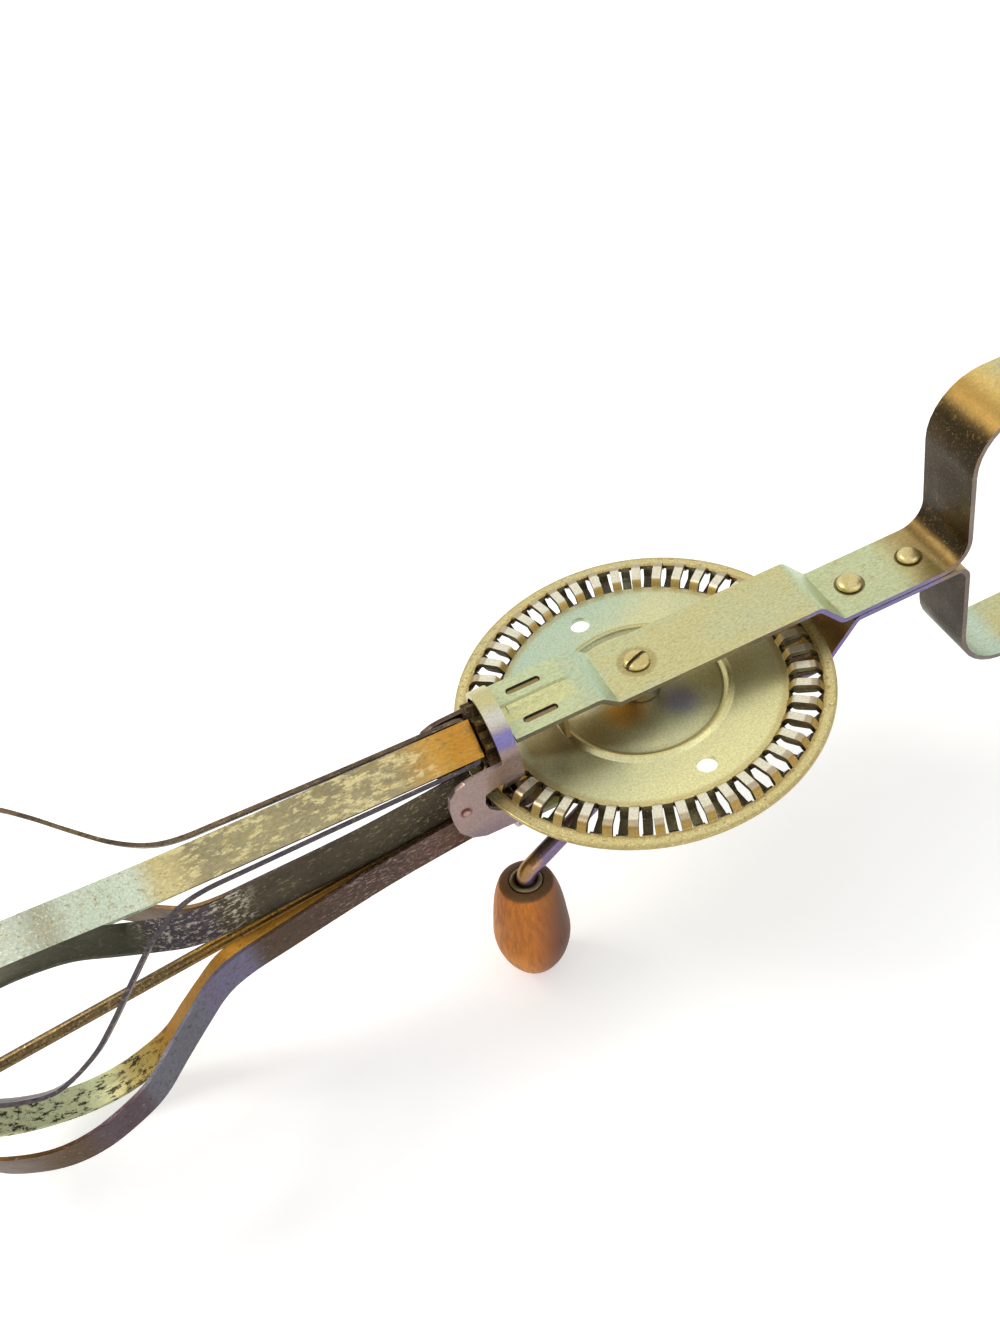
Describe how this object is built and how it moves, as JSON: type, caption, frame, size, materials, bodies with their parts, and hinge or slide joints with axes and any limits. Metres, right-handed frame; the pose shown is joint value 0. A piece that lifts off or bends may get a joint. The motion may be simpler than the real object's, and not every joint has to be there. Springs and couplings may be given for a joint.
{
  "type": "rotary egg beater",
  "caption": "Hand-cranked rotary egg beater: a toothed wheel drives counter-turning strip beaters under a bent strap frame with a looped grip.",
  "frame": {"origin": "middle of the bounding box in plan, at the height of the lowest point", "axes": "+X along the beater from the beaters' tips to the grip, +Z along the drive wheel's axis, away from the crank, +Y across the strap"},
  "size_m": [0.3162, 0.084, 0.0966],
  "materials": {
    "frame_strap": "polished strip steel with a faint straw tint",
    "pinion_saddle": "pressed sheet with purple to blue heat tint",
    "neck_rivet_inner": "dull yellowed rivet head",
    "neck_rivet_outer": "dull yellowed rivet head",
    "drive_wheel": "bright pressed disc",
    "crank_rod": "drawn round rod",
    "axle_screw": "worn slotted head",
    "front_hub_spacer": "turned ring",
    "rear_hub_spacer": "turned ring",
    "rear_thrust_washer": "stamped washer",
    "crank_knob": "turned, varnished reddish brown wood",
    "knob_ferrule": "turned grey ring",
    "front_pinion": "cut gear, dark in the roots",
    "front_shaft": "drawn shaft with a straw tint",
    "front_loop_outer": "worn bright strip with dark and golden tints",
    "front_loop_inner": "worn bright strip with dark tints and pale streaks",
    "front_tip_collar": "turned ring",
    "front_shaft_washer": "stamped washer",
    "rear_pinion": "cut gear, dark in the roots",
    "rear_shaft": "drawn shaft with a straw tint",
    "rear_loop_outer": "worn bright strip with dark and golden tints",
    "rear_loop_inner": "worn bright strip with dark tints and pale streaks",
    "rear_tip_collar": "turned ring",
    "rear_shaft_washer": "stamped washer"
  },
  "bodies": {
    "frame": {"frame_strap": "frame_strap", "pinion_saddle": "pinion_saddle", "neck_rivet_inner": "neck_rivet_inner", "neck_rivet_outer": "neck_rivet_outer"},
    "drive": {"drive_wheel": "drive_wheel", "crank_rod": "crank_rod", "axle_screw": "axle_screw", "front_hub_spacer": "front_hub_spacer", "rear_hub_spacer": "rear_hub_spacer", "rear_thrust_washer": "rear_thrust_washer"},
    "knob": {"crank_knob": "crank_knob", "knob_ferrule": "knob_ferrule"},
    "front_beater": {"front_pinion": "front_pinion", "front_shaft": "front_shaft", "front_loop_outer": "front_loop_outer", "front_loop_inner": "front_loop_inner", "front_tip_collar": "front_tip_collar", "front_shaft_washer": "front_shaft_washer"},
    "rear_beater": {"rear_pinion": "rear_pinion", "rear_shaft": "rear_shaft", "rear_loop_outer": "rear_loop_outer", "rear_loop_inner": "rear_loop_inner", "rear_tip_collar": "rear_tip_collar", "rear_shaft_washer": "rear_shaft_washer"}
  },
  "joints": [
    {"name": "crank_turn", "type": "hinge", "parent": "frame", "child": "drive", "pos_m": [0.02312, 0, 0.05573], "axis": [0, 0, 1], "continuous": true},
    {"name": "front_beater_spin", "type": "hinge", "parent": "frame", "child": "front_beater", "pos_m": [-0.01358, 0, 0.06472], "axis": [0.9985, 0.0227, -0.0488], "continuous": true},
    {"name": "rear_beater_spin", "type": "hinge", "parent": "frame", "child": "rear_beater", "pos_m": [-0.01358, 0, 0.04674], "axis": [0.994, 0, 0.1098], "continuous": true},
    {"name": "knob_spin", "type": "hinge", "parent": "drive", "child": "knob", "pos_m": [-0.01634, -0.01424, 0.03093], "axis": [0.1065, 0.0384, 0.9936], "continuous": true}
  ],
  "couplings": [
    {"joint": "front_beater_spin", "follows": "crank_turn", "ratio": -5},
    {"joint": "rear_beater_spin", "follows": "crank_turn", "ratio": 5}
  ]
}
